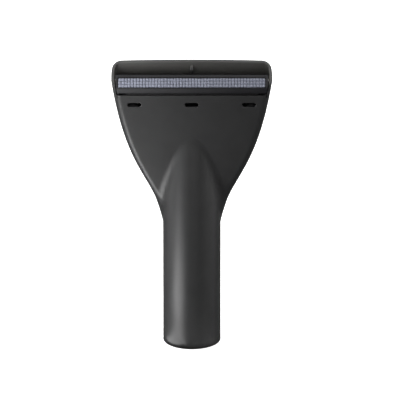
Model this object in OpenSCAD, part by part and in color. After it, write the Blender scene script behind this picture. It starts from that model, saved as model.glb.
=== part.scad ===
// Upholstery nozzle of a vacuum cleaner, standing on the open end of its round neck.
// Origin: centre of the neck's open end. +Z up the neck, -Y the side that is held to
// the cloth, +X across the head. All lengths are in millimetres.

/* [Neck] */
// Outside diameter of the round neck
neck_od = 40; // [39:0.5:41]
// Wall thickness of the two moulded shells
wall = 2; // [1.8:0.1:2.2]
// Bore of the wand socket
bore_d = 32.1; // [31.6:0.1:32.6]
// Depth of the wand socket, from the open end to its shoulder
socket_depth = 42; // [34:1:50]
// Rounding of the neck's open end
neck_edge = 1; // [0.4:0.1:1.2]

/* [Flare outline] */
// Height at which the flare leaves the neck
flare_z = 74; // [72:0.5:76]
// Full width of the head at its widest
head_w = 110; // [106:0.2:114]
// Height of the widest point
wide_z = 199; // [198:0.5:200]
// Length of the outline curve's lower handle
low_handle = 48.5; // [46:0.5:52]
// Length of the outline curve's upper handle
top_handle = 82.5; // [80:0.5:85]
// Sideways run of the upper handle
top_handle_run = 11.5; // [10:0.5:13]
// Full width of the hood at its lip
lip_w = 103.6; // [102:0.2:106]

/* [Flare depth] */
// Forward reach of the front plate at its top edge
plate_reach = 28.5; // [27.5:0.1:29.5]
// Height of the front plate's top edge
plate_top_z = 190.1; // [189.5:0.1:190.5]
// Forward lean of the front plate
plate_lean = 15.2; // [14.5:0.1:16]
// Bulge of the front plate along its height
plate_bulge = 1.5; // [0.5:0.1:2]
// Height at which the back starts to lean forward
back_z = 85; // [82:0.5:88]
// Forward lean of the back
back_lean = 14.7; // [14:0.1:15.2]
// Rise of the back's middle above its sides
back_crown = 0.8; // [0:0.1:1.2]
// Rounding of the flare's front edges
front_r = 5; // [4:0.5:6]
// Rounding of the flare's back edges
back_r = 4.5; // [3.5:0.5:5]
// Blend between the neck and the front plate at the flare's foot
crease_blend = 6; // [4:0.5:8]

/* [Working side] */
// Tilt of the working plane away from level
face_tilt = 40; // [38:0.5:42]
// Forward reach of the strip's lower edge
face_reach = 30.2; // [29.9:0.1:30.5]
// Height of the strip's lower edge
face_z = 196.4; // [196:0.1:196.8]
// Length of the lint strip along the head
strip_l = 100.4; // [98:0.2:101]
// Width of the lint strip
strip_w = 7.3; // [6.8:0.1:7.5]
// Pile rows across the lint strip
pile_rows = 3; // [2:1:4]
// Pile tufts along the lint strip
pile_columns = 48; // [24:1:54]
// Height of the pile
pile_h = 0.8; // [0.5:0.1:1]
// Distance from the strip's lower edge to the mouth edge of the carrier
carrier_w = 10.2; // [9.8:0.1:10.6]
// Gap around the tilting carrier
carrier_gap = 0.8; // [0.6:0.1:0.9]
// Distance between the centres of two vent slots
vent_pitch = 39.2; // [36:0.2:40]
// Length of a vent slot
vent_l = 9.6; // [8:0.2:11]
// Height of a vent slot
vent_h = 3.2; // [2.6:0.1:3.4]
// Height of the vent slots above the neck's open end
vent_z = 182.3; // [181.5:0.1:183]

/* [Fasteners] */
// Shank diameter of the self-tapping screws
screw_d = 2.9; // [2.5:0.1:3.1]
// Length of a screw below its head
screw_l = 12; // [8:0.5:13]
// Diameter of the pivot pins
pin_d = 2.5; // [2:0.1:2.8]
// Wire diameter of the return springs
wire_d = 0.5; // [0.4:0.05:0.6]

/* [Hidden] */

shell_grey = [0.2, 0.2, 0.21];
trim_grey = [0.14, 0.14, 0.16];
steel = [0.68, 0.69, 0.7];
rubber = [0.07, 0.07, 0.07];
strip_blue = [0.55, 0.57, 0.66];

round_facets = 64;
small_facets = 32;
neck_r = neck_od / 2;
half_max = head_w / 2;
touch = 0.05;
big = 200;

// --- Outline and depth of the flare -------------------------------------------------

function bezier(p, t) =
    pow(1 - t, 3) * p[0] + 3 * pow(1 - t, 2) * t * p[1]
    + 3 * (1 - t) * t * t * p[2] + pow(t, 3) * p[3];

outline_steps = 28;
hood_steps = 8;
hood_top_z = 211.5;
hood_handle = 4;
hood_swell = 0.25;
hood_turn = 0.05;
// Points are [height, half width]: from the neck to the widest point, then to the lip
flare_curve = [[flare_z, neck_r], [flare_z + low_handle, neck_r],
               [wide_z - top_handle, half_max - top_handle_run], [wide_z, half_max]];
hood_curve = [[wide_z, half_max], [wide_z + hood_handle, half_max + hood_swell],
              [wide_z + 2 * hood_handle, half_max + hood_turn], [hood_top_z, lip_w / 2]];
half_table = concat([[-big, neck_r]],
    [for (i = [0:outline_steps]) bezier(flare_curve, i / outline_steps)],
    [for (i = [1:hood_steps]) bezier(hood_curve, i / hood_steps)]);

function half_width(z) = lookup(z, half_table);

plate_low_z = 102;
plate_h = plate_top_z - plate_low_z;
function plate_y(z) =
    let (u = (z - plate_low_z) / plate_h)
    -plate_reach + (plate_top_z - z) * tan(plate_lean) - 4 * plate_bulge * u * (1 - u);

function back_y(z) = neck_r - (z - back_z) * tan(back_lean);

morph_h = 44;
function smooth_ramp(a, b, v) = let (t = max(0, min(1, (v - a) / (b - a)))) t * t * (3 - 2 * t);
// 0 where the section is the neck's circle, 1 where it is the flat flare
function morph(z) = smooth_ramp(flare_z, flare_z + morph_h, z);

// --- Outer surface: negative inside, about the true distance near the surface --------

function round_max(a, b, r) = a > -r && b > -r ? norm([a + r, b + r]) - r : max(a, b);
function smooth_min(a, b, k) = let (h = max(k - abs(a - b), 0) / k) min(a, b) - h * h * k / 4;

// The crease starts on the neck, is widest below the plate, and sharpens to the hump's tip
tip_blend = 1.2;
crease_low_z = 70;
foot_z = 86;
crease_wide_z = 105;
tip_z = 150;
back_blend = 6;
function crease(z) = touch + tip_blend * smooth_ramp(crease_low_z, foot_z, z)
    + (crease_blend - tip_blend) * smooth_ramp(foot_z, crease_wide_z, z)
    * (1 - smooth_ramp(plate_low_z, tip_z, z));

function distance_out(x, y, z) =
    let (h = half_width(z), w = morph(z),
         back = y - back_y(z) + back_crown * pow(x / h, 2),
         oval = (norm([x / h, y / neck_r]) - 1) * neck_r,
         box = round_max(abs(x) - h, back, back_r),
         flare = round_max((1 - w) * oval + w * box, plate_y(z) - y, front_r),
         joined = smooth_min(norm([x, y]) - neck_r, flare, crease(z)))
    -smooth_min(-joined, -back, touch + back_blend * (1 - w));

// --- Sections ------------------------------------------------------------------------
// Each section is a plane [height at its centre, slope, inset of its outer edge, inset
// of its inner edge]. The slope grows from level at the neck to the working plane.

face_slope = tan(face_tilt);
function centre_y(z) = morph(z) * (plate_y(z) + back_y(z)) / 2;
function half_depth(z) =
    (1 - morph(z)) * neck_r + morph(z) * (back_y(z) - plate_y(z)) / 2;

mouth_guess_z = 203;
mouth_z = face_z + face_slope * (centre_y(mouth_guess_z) + face_reach);
slope_start_z = 128;
section_step = 5.4;
section_count = round((mouth_z - flare_z) / section_step);
lip_edge = 0.7;
straight_z = 54;
slope_power = 1.3;
edge_step = 0.3;

function section_slope(z) =
    face_slope * pow(max(0, z - slope_start_z) / (mouth_z - slope_start_z), slope_power);
sections = concat(
    [[0, 0, neck_edge, 0], [neck_edge * edge_step, 0, neck_edge * edge_step, 0],
     [neck_edge, 0, 0, 0],
     [straight_z, 0, 0, 0], [(straight_z + flare_z) / 2, 0, 0, 0]],
    [for (i = [0:section_count - 1])
        let (z = flare_z + i * (mouth_z - lip_edge - flare_z) / section_count)
        [z, section_slope(z), 0, 0]],
    [[mouth_z - lip_edge, face_slope, 0, 0], [mouth_z, face_slope, lip_edge, lip_edge]]);

// Each ray of a section runs from inside the body through a point of a unit square.
// Even angles put the points close together near the corners.
front_rays = 26;
back_rays = 20;
side_rays = 16;
guide = concat(
    [for (i = [0:front_rays - 1]) [sin(-90 + 180 * i / front_rays), -1]],
    [for (i = [0:side_rays - 1]) [1, sin(-90 + 180 * i / side_rays)]],
    [for (i = [0:back_rays - 1]) [sin(90 - 180 * i / back_rays), 1]],
    [for (i = [0:side_rays - 1]) [-1, sin(90 - 180 * i / side_rays)]]);
ray_count = len(guide);

halvings = 14;
ray_start = 0.15;
ray_end = 2.2;
// Place along the ray from o in direction d where the distance reaches the level
function reach(o, d, zc, m, level, lo, hi, n) =
    n == 0 ? (lo + hi) / 2
    : let (mid = (lo + hi) / 2, p = o + mid * d)
      distance_out(p.x, p.y, zc + m * (p.y - o.y)) < level
        ? reach(o, d, zc, m, level, mid, hi, n - 1)
        : reach(o, d, zc, m, level, lo, mid, n - 1);

spine = 0.8;
function section_point(s, g, level) =
    let (zc = s[0], k = spine * morph(zc), h = half_width(zc),
         o = [k * h * g.x, centre_y(zc)],
         d = [(1 - k) * h * g.x, half_depth(zc) * g.y],
         p = o + reach(o, d, zc, s[1], level, ray_start, ray_end, halvings) * d)
    [p.x, p.y, zc + s[1] * (p.y - o.y)];

// Closed wall between the outer surface and the same surface moved inward
module wall_between(depth) {
    rows = len(sections);
    outer = [for (s = sections) for (g = guide) section_point(s, g, -s[2])];
    inner = [for (s = sections) for (g = guide) section_point(s, g, -depth + s[3])];
    n = rows * ray_count;
    function at(i, j) = i * ray_count + j % ray_count;
    faces = concat(
        [for (i = [0:rows - 2]) for (j = [0:ray_count - 1])
            each [[at(i, j), at(i + 1, j), at(i + 1, j + 1)],
                  [at(i, j), at(i + 1, j + 1), at(i, j + 1)]]],
        [for (i = [0:rows - 2]) for (j = [0:ray_count - 1])
            each [[n + at(i, j), n + at(i + 1, j + 1), n + at(i + 1, j)],
                  [n + at(i, j), n + at(i, j + 1), n + at(i + 1, j + 1)]]],
        [for (j = [0:ray_count - 1])
            each [[at(0, j), at(0, j + 1), n + at(0, j + 1)],
                  [at(0, j), n + at(0, j + 1), n + at(0, j)]]],
        [for (j = [0:ray_count - 1])
            each [[at(rows - 1, j), n + at(rows - 1, j + 1), at(rows - 1, j + 1)],
                  [at(rows - 1, j), n + at(rows - 1, j), n + at(rows - 1, j + 1)]]]);
    polyhedron(concat(outer, inner), faces, convexity = 8);
}

// --- Working frame -------------------------------------------------------------------
// u runs from the strip's lower edge toward the hood's lip, v stands out of the face.

function face_point(u, v) =
    [-face_reach + u * cos(face_tilt) - v * sin(face_tilt),
     face_z + u * sin(face_tilt) + v * cos(face_tilt)];

// Extrudes a profile drawn as [y, z] along X, centred
module along_x(length, profile) {
    translate([-length / 2, 0, 0])
        rotate([90, 0, 90])
            linear_extrude(length) polygon(profile);
}

// Extrudes a profile drawn as [u, v] in the working frame along X, centred
module face_bar(length, profile) {
    along_x(length, [for (p = profile) face_point(p[0], p[1])]);
}

// Room between the front plate and the back wall, for trimming what stands on them. It
// starts at a depth behind the plate's outer face, and ends in the middle of the back wall.
core_low_z = 100;
core_high_z = 210;
core_steps = 8;
module core(depth) {
    zs = [for (i = [0:core_steps]) core_low_z + i * (core_high_z - core_low_z) / core_steps];
    along_x(head_w, concat([for (z = zs) [plate_y(z) + depth, z]],
                           [for (i = [core_steps:-1:0]) [back_y(zs[i]) - wall / 2 - back_crown, zs[i]]]));
}

// Moves children from the working frame (u to Y, v to Z) into the part's frame
module on_face(x, u, v) {
    p = face_point(u, v);
    translate([x, p[0], p[1]]) rotate([face_tilt, 0, 0]) children();
}

// Front view outline of the room between the cheeks, less a gap
room_low_z = 184;
room_top_z = 216;
room_steps = 6;
cheek_trim = 0.1;
room_side = wall + cheek_trim;
module room_between_cheeks(gap) {
    zs = [for (i = [0:room_steps]) room_low_z + i * (wide_z - room_low_z) / room_steps];
    side = concat([for (z = zs) [half_width(z) - room_side - gap, z]],
                  [[half_max - room_side - gap, room_top_z]]);
    other = [for (i = [len(side) - 1:-1:0]) [-side[i][0], side[i][1]]];
    rotate([90, 0, 0])
        linear_extrude(2 * big, center = true) polygon(concat(side, other));
}

// --- Parting between the two shells ----------------------------------------------------

seam_z = 93;
parting_share = 0.45;
notch_z = 186.5;
notch_x = 51;
notch_gap = 0.4;
function parting_y(z) = plate_y(z) + parting_share * (back_y(z) - plate_y(z));
parting_steps = 6;

// Side profile of the space that the front shell owns
module front_space() {
    zs = [for (i = [0:parting_steps]) seam_z + i * (plate_top_z - seam_z) / parting_steps];
    difference() {
        along_x(big, concat([[-big, -big], [big, -big], [big, seam_z]],
                            [for (z = zs) [parting_y(z), z]],
                            [[-big, plate_top_z]]));
        for (side = [-1, 1])
            translate([side * notch_x + (side - 1) * big / 2, -big, notch_z])
                cube([big, 2 * big, big]);
    }
}

// --- Screws ----------------------------------------------------------------------------

lower_spot = [23.6, 128];
upper_spot = [41, 172];
screw_spots = [lower_spot, upper_spot];
head_d = 5.6;
head_h = 1.9;
post_r = 3.4;
post_foot = 26;
post_taper = 0.4;
pilot_gap = 0.02;
pilot_r = screw_d / 2 + pilot_gap;
pilot_over = 1;
seat_gap = 0.3;
seat_r = head_d / 2 + seat_gap;
seat_depth = 2.4;
seat_floor = 1.6;

// Places children on the back of the flare, Z pointing out of it, at one screw
module at_screw(spot, side) {
    translate([side * spot[0], back_y(spot[1]) - back_crown
               * pow(spot[0] / half_width(spot[1]), 2), spot[1]])
        rotate([back_lean - 90, 0, 0])
            children();
}

module at_screws() {
    for (spot = screw_spots)
        for (side = [-1, 1])
            at_screw(spot, side) children();
}

// --- Front shell ------------------------------------------------------------------------

ledge_t = 1.8;
ledge_reach = 1;
seal_t = 1.4;
shoulder_h = 3;
ledge_z = socket_depth + shoulder_h + seal_t;

module vent_slot() {
    hull()
        for (side = [-1, 1])
            translate([side * (vent_l - vent_h) / 2, 0, 0])
                rotate([90, 0, 0])
                    cylinder(h = 3 * wall, d = vent_h, center = true, $fn = small_facets);
}

module vents() {
    for (i = [-1:1])
        translate([i * vent_pitch, plate_y(vent_z) + wall / 2, vent_z]) vent_slot();
}

module socket_ledge() {
    translate([0, 0, ledge_z])
        difference() {
            cylinder(h = ledge_t, r = neck_r - wall / 2, $fn = round_facets);
            translate([0, 0, -touch])
                cylinder(h = ledge_t + 2 * touch, r = bore_d / 2 - ledge_reach, $fn = round_facets);
        }
}

module front_shell() {
    color(shell_grey)
        difference() {
            union() {
                intersection() {
                    wall_between(wall);
                    front_space();
                }
                socket_ledge();
            }
            vents();
        }
}

// --- Spring rail and screw posts, both welded to the inside of the front plate ------------

weld_gap = 0.02;
rail_l = 94;
shelf_out = -9.6;
shelf_t = 2;
shelf_in = 7.3;
shelf_root = -8;
shelf_haunch = 5;
stop_x = 45;
stop_w = 3;
stop_root = 5;
stop_end = 10;
stop_top = [8.7, -6.8];
stop_out = -6.6;
stop_low = -8;
spring_x = 30;
spring_u = 4.6;
spring_r = 1.9;
spring_seat_h = 0.8;
spring_seat_gap = 0.1;
spring_seat_taper = 0.2;

// Rail with the spring seats, and stops under the carrier
module rail_form() {
    shelf_under = shelf_out - shelf_t;
    seat_root_r = spring_r - wire_d - spring_seat_gap;
    face_bar(rail_l, [[shelf_root, shelf_under - shelf_t],
        [shelf_root + shelf_haunch, shelf_under], [shelf_in, shelf_under],
        [shelf_in, shelf_out], [shelf_root, shelf_out]]);
    for (side = [-1, 1]) {
        translate([side * stop_x, 0, 0])
            face_bar(stop_w, [[stop_root, shelf_out], stop_top, [stop_end, stop_out],
                              [stop_end, stop_low], [stop_root + shelf_t, shelf_under],
                              [stop_root, shelf_under]]);
        on_face(side * spring_x, spring_u, shelf_out)
            hull() {
                translate([0, 0, -shelf_t / 2])
                    cylinder(h = shelf_t / 2, r = seat_root_r, $fn = small_facets);
                cylinder(h = spring_seat_h, r = seat_root_r - spring_seat_taper,
                         $fn = small_facets);
            }
    }
}

module spring_rail() {
    color(shell_grey)
        intersection() {
            rail_form();
            core(wall + weld_gap);
        }
}

// Post that a screw bites into, from the rear cover's seat to the front plate
module post(spot, side) {
    difference() {
        intersection() {
            at_screw(spot, side)
                hull() {
                    translate([0, 0, -wall - seat_floor - touch])
                        cylinder(h = touch, r = post_r - post_taper, $fn = small_facets);
                    translate([0, 0, -post_foot])
                        cylinder(h = touch, r = post_r, $fn = small_facets);
                }
            core(wall + weld_gap);
        }
        at_screw(spot, side)
            translate([0, 0, -seat_depth - screw_l - pilot_over])
                cylinder(h = screw_l + 2 * pilot_over, r = pilot_r, $fn = small_facets);
    }
}

module post_lower_left() {
    color(shell_grey) post(lower_spot, -1);
}

module post_lower_right() {
    color(shell_grey) post(lower_spot, 1);
}

module post_upper_left() {
    color(shell_grey) post(upper_spot, -1);
}

module post_upper_right() {
    color(shell_grey) post(upper_spot, 1);
}

// --- Rear cover ---------------------------------------------------------------------------

rib_w = 1.8;
rib_edge = 0.4;
rib_gap = 4.4;
rib_low = carrier_w + rib_gap;
rib_back = 23;
rib_out = -2;
rib_deep = -18;
rib_slant = 1;
rib_drop = 1.2;
tongue_w = 10;
tongue_t = 2.2;
tongue_h = 4;
tongue_lead = 1;
tongue_clear = 0.7;
cheek_back_y = -18;
pivot_u = 7.4;
pivot_v = -3.8;
pin_head_d = 4.4;
pin_head_h = 0.9;
pin_reach = 8;
pin_hole_gap = 0.03;
pivot_z = face_point(pivot_u, pivot_v)[1];
pivot_y = face_point(pivot_u, pivot_v)[0];
cheek_x = half_width(pivot_z);
pin_boss_r = 3.4;
pin_boss_h = 0.25;
pin_boss_taper = 0.3;
screw_boss_r = 4.6;
screw_boss_taper = 0.4;
screw_hole_gap = 0.1;

module at_pivot(side) {
    translate([side * cheek_x, pivot_y, pivot_z]) rotate([0, side * 90, 0]) children();
}

module rib_plate(width, low, out) {
    face_bar(width, [[low, rib_deep], [low + rib_slant, out - rib_drop],
                     [rib_back, out], [rib_back, rib_deep]]);
}

// Rib that stiffens the middle of the hood
module mouth_rib() {
    hull() {
        rib_plate(rib_w - rib_edge, rib_low, rib_out);
        rib_plate(rib_w, rib_low + 2 * rib_slant, rib_out - rib_edge);
    }
}

module screw_seats() {
    at_screws()
        hull() {
            translate([0, 0, -wall - seat_floor])
                cylinder(h = touch, r = screw_boss_r - screw_boss_taper, $fn = small_facets);
            translate([0, 0, -wall])
                cylinder(h = wall, r = screw_boss_r, $fn = small_facets);
        }
}

module pin_bosses() {
    for (side = [-1, 1])
        at_pivot(side)
            hull() {
                translate([0, 0, -wall - pin_boss_h])
                    cylinder(h = wall / 2, r = pin_boss_r - pin_boss_taper, $fn = small_facets);
                translate([0, 0, -wall])
                    cylinder(h = wall / 2, r = pin_boss_r, $fn = small_facets);
            }
}

// Tongue that slips behind the front shell's back wall below the seam
module seam_tongue() {
    root_y = back_y(seam_z) - wall - tongue_t - tongue_clear;
    hull() {
        translate([-tongue_w / 2, root_y, seam_z])
            cube([tongue_w, tongue_t, tongue_h]);
        translate([tongue_lead - tongue_w / 2, root_y, seam_z - tongue_h])
            cube([tongue_w - 2 * tongue_lead, tongue_t / 2, tongue_h]);
    }
}

module rear_cover() {
    color(shell_grey)
        difference() {
            union() {
                difference() {
                    wall_between(wall);
                    front_space();
                    for (side = [-1, 1])
                        translate([side * notch_x - notch_gap, -big, notch_z - touch])
                            cube([2 * notch_gap, big + parting_y(notch_z), plate_top_z - notch_z]);
                    intersection() {
                        room_between_cheeks(0);
                        along_x(big, [[-big, plate_top_z - touch], [cheek_back_y, plate_top_z - touch],
                                      [cheek_back_y, big], [-big, big]]);
                    }
                }
                intersection() {
                    union() {
                        mouth_rib();
                        screw_seats();
                    }
                    core(wall / 2);
                }
                pin_bosses();
                seam_tongue();
            }
            at_screws() {
                translate([0, 0, -seat_depth])
                    cylinder(h = 2 * seat_depth, r = seat_r, $fn = small_facets);
                translate([0, 0, -2 * seat_depth - wall])
                    cylinder(h = big, r = screw_d / 2 + screw_hole_gap, $fn = small_facets);
            }
            for (side = [-1, 1])
                at_pivot(side) {
                    translate([0, 0, -2 * wall])
                        cylinder(h = big, r = pin_d / 2 + pin_hole_gap, $fn = small_facets);
                    translate([0, 0, -pin_head_h])
                        cylinder(h = big, r = pin_head_d / 2 + pin_hole_gap, $fn = small_facets);
                }
        }
}

// --- Wand socket ------------------------------------------------------------------------------

socket_fit = 0.1;
seal_fit = 0.1;
socket_r = neck_r - wall - socket_fit;
shoulder_lip = 1.4;
socket_top = ledge_z - seal_t;

module wand_socket() {
    color(trim_grey)
        rotate_extrude($fn = round_facets)
            polygon([[bore_d / 2, 0], [socket_r, 0], [socket_r, socket_top],
                     [bore_d / 2 - shoulder_lip, socket_top],
                     [bore_d / 2 - shoulder_lip, socket_depth],
                     [bore_d / 2, socket_depth]]);
}

module socket_seal() {
    color(rubber)
        translate([0, 0, socket_top])
            difference() {
                cylinder(h = seal_t, r = socket_r - seal_fit, $fn = round_facets);
                translate([0, 0, -touch])
                    cylinder(h = seal_t + 2 * touch, r = bore_d / 2 - shoulder_lip,
                             $fn = round_facets);
            }
}

// --- Screws in the back --------------------------------------------------------------------------

cross_w = 0.8;
cross_l = 3.2;
cross_depth = 1.1;
point_h = 2;
head_side_h = 0.55 * head_h;
head_round = [0.5, 0.85 * head_h];
head_flat_r = head_d / 2 - 1.4;

// Pan-head screw whose head stands on the floor of its seat
module screw() {
    translate([0, 0, -seat_depth])
        difference() {
            rotate_extrude($fn = small_facets)
                polygon([[0, -screw_l], [screw_d / 4, -screw_l], [screw_d / 2, point_h - screw_l],
                         [screw_d / 2, 0], [head_d / 2, 0], [head_d / 2, head_side_h],
                         [head_d / 2 - head_round[0], head_round[1]],
                         [head_flat_r, head_h], [0, head_h]]);
            for (turn = [0, 90])
                rotate(turn)
                    translate([-cross_l / 2, -cross_w / 2, head_h - cross_depth])
                        cube([cross_l, cross_w, 2 * cross_depth]);
        }
}

module screw_lower_left() {
    color(steel) at_screw(lower_spot, -1) screw();
}

module screw_lower_right() {
    color(steel) at_screw(lower_spot, 1) screw();
}

module screw_upper_left() {
    color(steel) at_screw(upper_spot, -1) screw();
}

module screw_upper_right() {
    color(steel) at_screw(upper_spot, 1) screw();
}

// --- Tilting strip carrier ------------------------------------------------------------------------

bezel_t = 1.2;
bezel_edge = 0.6;
strip_gap = 0.35;
band_top_u = -0.9;
band_low = [-1.6, -5.9];
band_inner_top_u = 0.4;
band_inner_low = [-0.3, -5.6];
hook_u = carrier_w - 0.2;
hook_v = -3;
hook_t = 1;
felt_t = 1.2;
pocket_w = strip_w + 2 * strip_gap;
bar_top = -bezel_t - felt_t;
bar_side_gap = 0.1;
bar_seam = 0.02;
carrier_floor = -6.6;
carrier_edge = 0.2;
carrier_floor_u = 2.2;
bore_gap = 0.05;
spring_well_r = 2.3;
spring_well_top = -4.4;

module strip_carrier() {
    color(trim_grey)
        difference() {
            intersection() {
                face_bar(big, [[band_inner_top_u, -bezel_t - bar_seam],
                    [carrier_w - bezel_edge, -bezel_t - bar_seam],
                    [carrier_w - bezel_edge, hook_v + hook_t], [hook_u, hook_v],
                    [hook_u, carrier_floor + carrier_edge], [pivot_u + 1, carrier_floor],
                    [carrier_floor_u, carrier_floor], band_inner_low]);
                room_between_cheeks(carrier_gap + bar_side_gap);
            }
            face_bar(strip_l + 2 * strip_gap, [[-1, -1], [pocket_w - strip_gap, -1],
                [pocket_w - strip_gap, bar_top], [-1, bar_top]]);
            for (side = [-1, 1])
                at_pivot(side)
                    translate([0, 0, -pin_reach - 1])
                        cylinder(h = big, r = pin_d / 2 + bore_gap, $fn = small_facets);
            for (side = [-1, 1])
                on_face(side * spring_x, spring_u, carrier_floor - 1)
                    cylinder(h = spring_well_top - carrier_floor + 1, r = spring_well_r,
                             $fn = small_facets);
        }
}

module strip_bezel() {
    color(trim_grey)
        difference() {
            intersection() {
                face_bar(big, [[band_top_u, -bezel_edge], [band_top_u + bezel_edge, 0],
                    [carrier_w - bezel_edge, 0], [carrier_w, -bezel_edge], [carrier_w, hook_v],
                    [hook_u, hook_v], [carrier_w - bezel_edge, hook_v + hook_t],
                    [carrier_w - bezel_edge, -bezel_t], [band_inner_top_u, -bezel_t],
                    band_inner_low, band_low]);
                room_between_cheeks(carrier_gap);
            }
            face_bar(strip_l + 2 * strip_gap, [[-strip_gap, 1], [strip_w + strip_gap, 1],
                [strip_w + strip_gap, hook_v], [band_inner_top_u, hook_v],
                [band_inner_top_u, -bezel_t], [-strip_gap, -bezel_t]]);
        }
}

backing_t = 0.5;
felt_in_u = 0.5;
module strip_backing() {
    color(rubber)
        face_bar(strip_l, [[felt_in_u, bar_top], [strip_w, bar_top],
                           [strip_w, bar_top + backing_t], [felt_in_u, bar_top + backing_t]]);
}

felt_low = bar_top + backing_t;
felt_step = -1.15;
pile_top = 0.15;
groove_w = 0.45;
module lint_strip() {
    pile_floor = pile_top - pile_h;
    color(strip_blue)
        difference() {
            face_bar(strip_l, [[felt_in_u, felt_low], [strip_w, felt_low], [strip_w, pile_top],
                               [0, pile_top], [0, felt_step], [felt_in_u, felt_step]]);
            for (row = [1:pile_rows - 1])
                face_bar(2 * strip_l, [
                    [row * strip_w / pile_rows - groove_w / 2, pile_floor],
                    [row * strip_w / pile_rows + groove_w / 2, pile_floor],
                    [row * strip_w / pile_rows + groove_w / 2, 1],
                    [row * strip_w / pile_rows - groove_w / 2, 1]]);
            for (column = [1:pile_columns - 1])
                translate([(column / pile_columns - 0.5) * strip_l, 0, 0])
                    face_bar(groove_w, [[-1, pile_floor], [strip_w + 1, pile_floor],
                                        [strip_w + 1, 1], [-1, 1]]);
        }
}

pin_edge = 0.3;
pin_head_edge = [0.4, 0.25];

// Headed pin, its head flush with the cheek
module pin() {
    rotate_extrude($fn = small_facets)
        polygon([[0, -pin_reach], [pin_d / 2 - pin_edge, -pin_reach],
                 [pin_d / 2, pin_edge - pin_reach], [pin_d / 2, -pin_head_h],
                 [pin_head_d / 2, -pin_head_h], [pin_head_d / 2, -pin_head_edge[1]],
                 [pin_head_d / 2 - pin_head_edge[0], 0], [0, 0]]);
}

module pin_left() {
    color(steel) at_pivot(-1) pin();
}

module pin_right() {
    color(steel) at_pivot(1) pin();
}

// --- Springs and seal between carrier and rail ------------------------------------------------------

spring_turns = 4;
steps_per_turn = 12;
wire_sides = 6;
spring_low = shelf_out + wire_d / 2;
spring_high = spring_well_top - wire_d / 2;

module coil() {
    steps = spring_turns * steps_per_turn;
    points = [for (i = [0:steps]) for (j = [0:wire_sides - 1])
        let (turn = i * 360 / steps_per_turn, a = j * 360 / wire_sides,
             r = spring_r - wire_d / 2 + wire_d / 2 * cos(a),
             z = spring_low + (spring_high - spring_low) * i / steps + wire_d / 2 * sin(a))
        [r * cos(turn), r * sin(turn), z]];
    faces = concat(
        [[for (j = [wire_sides - 1:-1:0]) j]],
        [for (i = [0:steps - 1]) for (j = [0:wire_sides - 1])
            let (k = (j + 1) % wire_sides)
            [i * wire_sides + k, (i + 1) * wire_sides + k, (i + 1) * wire_sides + j,
             i * wire_sides + j]],
        [[for (j = [0:wire_sides - 1]) steps * wire_sides + j]]);
    polyhedron(points, faces, convexity = 10);
}

module spring_left() {
    color(steel) on_face(-spring_x, spring_u, 0) coil();
}

module spring_right() {
    color(steel) on_face(spring_x, spring_u, 0) coil();
}

seal_l = 90;
seal_foot = [-2, 1.2];
seal_foot_t = 0.7;
seal_lip_low = [-1.3, 0.3];
seal_lip_root = 0.2;
seal_lip_t = 0.5;
seal_tip = -6.2;
module gap_seal() {
    foot_top = shelf_out + seal_foot_t;
    color(rubber)
        face_bar(seal_l, [[seal_foot[0], shelf_out], [seal_foot[1], shelf_out],
            [seal_foot[1], foot_top], [seal_lip_low[1], foot_top + seal_lip_root],
            [seal_lip_t, seal_tip], [0, seal_tip],
            [seal_lip_low[0], foot_top + seal_lip_low[1]], [seal_foot[0], foot_top]]);
}

front_shell();
rear_cover();
wand_socket();
socket_seal();
post_lower_left();
post_lower_right();
post_upper_left();
post_upper_right();
screw_lower_left();
screw_lower_right();
screw_upper_left();
screw_upper_right();
spring_rail();
spring_left();
spring_right();
pin_left();
pin_right();
strip_carrier();
strip_bezel();
strip_backing();
lint_strip();
gap_seal();
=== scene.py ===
"""Looks of an upholstery nozzle: fine moulded shells, fittings and a lint strip."""
import math
import random

import bmesh
import bpy
import numpy as np
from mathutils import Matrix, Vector


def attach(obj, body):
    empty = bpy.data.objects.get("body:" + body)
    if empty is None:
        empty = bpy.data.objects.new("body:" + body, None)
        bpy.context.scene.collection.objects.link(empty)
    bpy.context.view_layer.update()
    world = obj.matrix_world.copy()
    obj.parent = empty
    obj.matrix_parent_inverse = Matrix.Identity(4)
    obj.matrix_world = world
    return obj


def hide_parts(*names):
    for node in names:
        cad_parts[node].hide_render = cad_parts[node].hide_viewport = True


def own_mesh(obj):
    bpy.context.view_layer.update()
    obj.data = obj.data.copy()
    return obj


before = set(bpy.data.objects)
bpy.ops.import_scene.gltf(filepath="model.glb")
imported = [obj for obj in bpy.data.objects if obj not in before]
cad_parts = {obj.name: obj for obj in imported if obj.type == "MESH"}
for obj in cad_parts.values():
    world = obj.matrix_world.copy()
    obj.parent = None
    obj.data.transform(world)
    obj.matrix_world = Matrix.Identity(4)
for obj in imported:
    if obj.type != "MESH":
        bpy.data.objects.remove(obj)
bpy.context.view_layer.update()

MM = 0.001
TILTING = "tilting_strip"

# ---------------------------------------------------------------------------
# Camera: a long lens, level across, looking down 20 degrees on the working side
# ---------------------------------------------------------------------------
FRAME_WIDTH = 277.0
CAMERA_DISTANCE = 4000.0
CAMERA_ELEVATION = math.radians(20.0)
SENSOR = 36.0
AIM = Vector((5.66, 0.0, 103.5)) * MM

camera_data = bpy.data.cameras.new("camera")
camera_data.sensor_width = SENSOR
camera_data.lens = SENSOR * CAMERA_DISTANCE / FRAME_WIDTH
camera_data.clip_start = 0.05
camera_data.clip_end = 14.0
camera = bpy.data.objects.new("camera", camera_data)
away = Vector((0.0, -math.cos(CAMERA_ELEVATION), math.sin(CAMERA_ELEVATION)))
camera.location = AIM + away * CAMERA_DISTANCE * MM
camera.rotation_mode = "QUATERNION"
camera.rotation_quaternion = (-away).to_track_quat("-Z", "Y")
bpy.context.scene.collection.objects.link(camera)
bpy.context.scene.camera = camera
bpy.context.scene.view_settings.view_transform = "Standard"

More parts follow.
